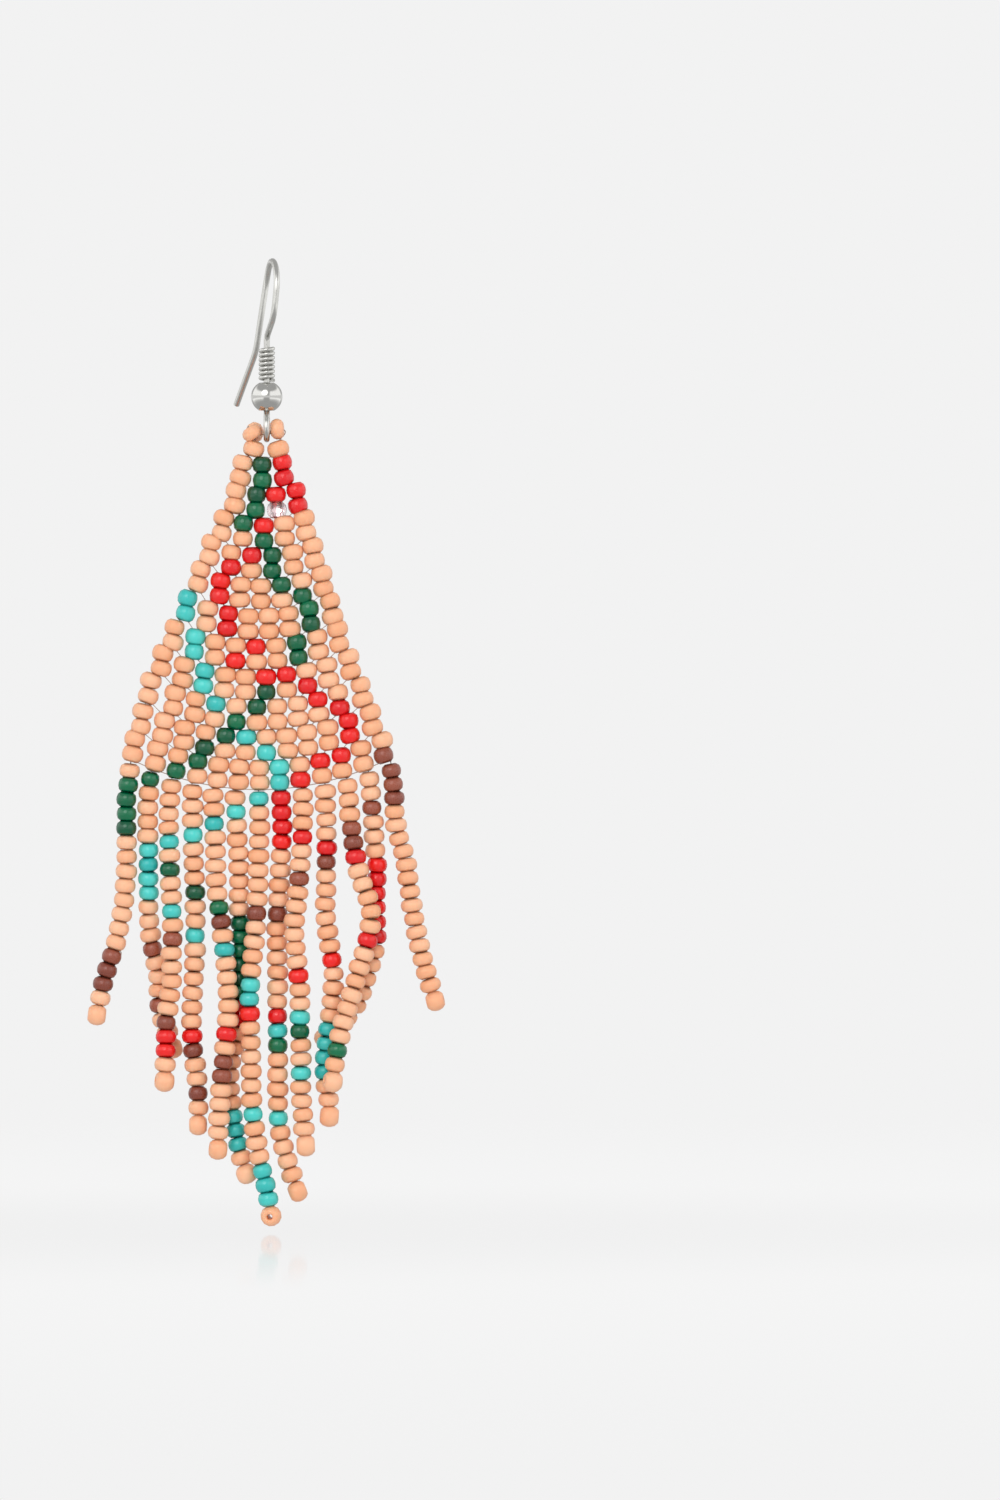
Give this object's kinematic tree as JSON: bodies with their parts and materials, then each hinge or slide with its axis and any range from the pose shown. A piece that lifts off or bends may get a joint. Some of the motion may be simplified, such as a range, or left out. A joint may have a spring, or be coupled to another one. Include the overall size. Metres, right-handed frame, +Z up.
{
  "type": "beaded drop earring",
  "caption": "Wire hook earring with a woven triangle of seed beads, diagonal stripes and a long bead fringe.",
  "frame": {"origin": "inside of the hook's arch at its highest point, where the earring hangs in an ear", "axes": "+X to the viewer's right, +Y away from the viewer towards the hook's tail, +Z up"},
  "size_m": [0.0375, 0.012, 0.1008],
  "materials": {
    "steel": "polished",
    "glass_beads": "gloss",
    "thread": "waxed"
  },
  "bodies": {
    "hook": {"ear_hook": "steel", "hook_coil": "steel", "hook_ball": "steel"},
    "drop": {"loop_beads": "glass_beads", "loop_thread": "thread", "woven_panel": "glass_beads", "fringe_strand_01": "glass_beads", "fringe_strand_02": "glass_beads", "fringe_strand_03": "glass_beads", "fringe_strand_04": "glass_beads", "fringe_strand_05": "glass_beads", "fringe_strand_06": "glass_beads", "fringe_strand_07": "glass_beads", "fringe_strand_08": "glass_beads", "fringe_strand_09": "glass_beads", "fringe_strand_10": "glass_beads", "fringe_strand_11": "glass_beads", "fringe_strand_12": "glass_beads", "fringe_strand_13": "glass_beads"}
  },
  "joints": [
    {"name": "drop_swing", "type": "hinge", "parent": "hook", "child": "drop", "pos_m": [-0.00056, 0.0003, -0.01774], "axis": [1, 0, 0], "range_deg": [-60, 60]}
  ]
}
